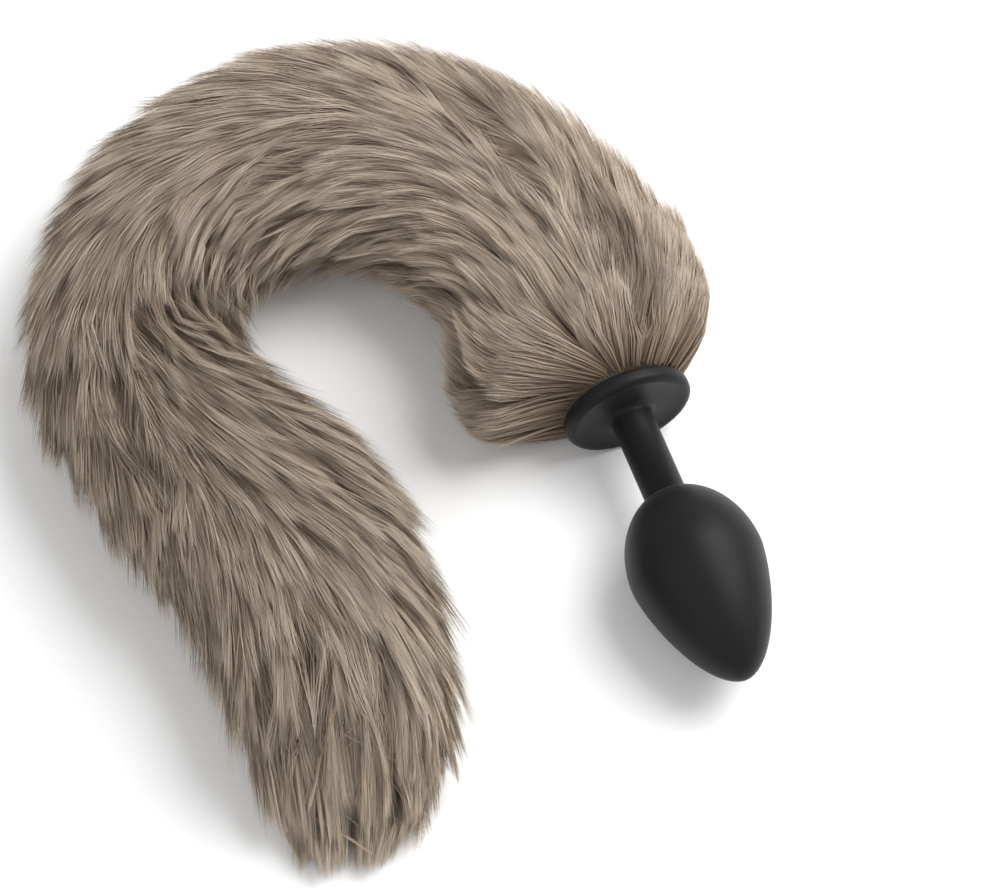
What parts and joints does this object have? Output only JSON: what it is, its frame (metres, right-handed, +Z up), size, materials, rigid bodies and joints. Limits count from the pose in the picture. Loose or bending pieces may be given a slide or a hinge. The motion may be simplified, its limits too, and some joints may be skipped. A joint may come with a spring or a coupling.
{
  "type": "fox tail butt plug",
  "caption": "Matte black silicone butt plug with a tapered bulb, slim neck and round flange, carrying a long plush taupe faux-fur fox tail that lies in an open hook.",
  "frame": {"origin": "under the middle of the object's box, on the surface it rests on", "axes": "+Z up. The plug lies at +X with its tip to -Y. The tail leaves the flange towards +Y, bends round at +Y and comes back along -X to end at -Y"},
  "size_m": [0.186, 0.2266, 0.0522],
  "materials": {
    "silicone": "matte black moulded silicone with soft wide highlights",
    "fur": "long plush faux fur, taupe with lighter tips and darker roots",
    "post_plastic": "plain moulded plastic, hidden in use"
  },
  "bodies": {
    "root": {"plug": "silicone", "fur_tail": "fur", "tail_post": "post_plastic"}
  },
  "joints": []
}
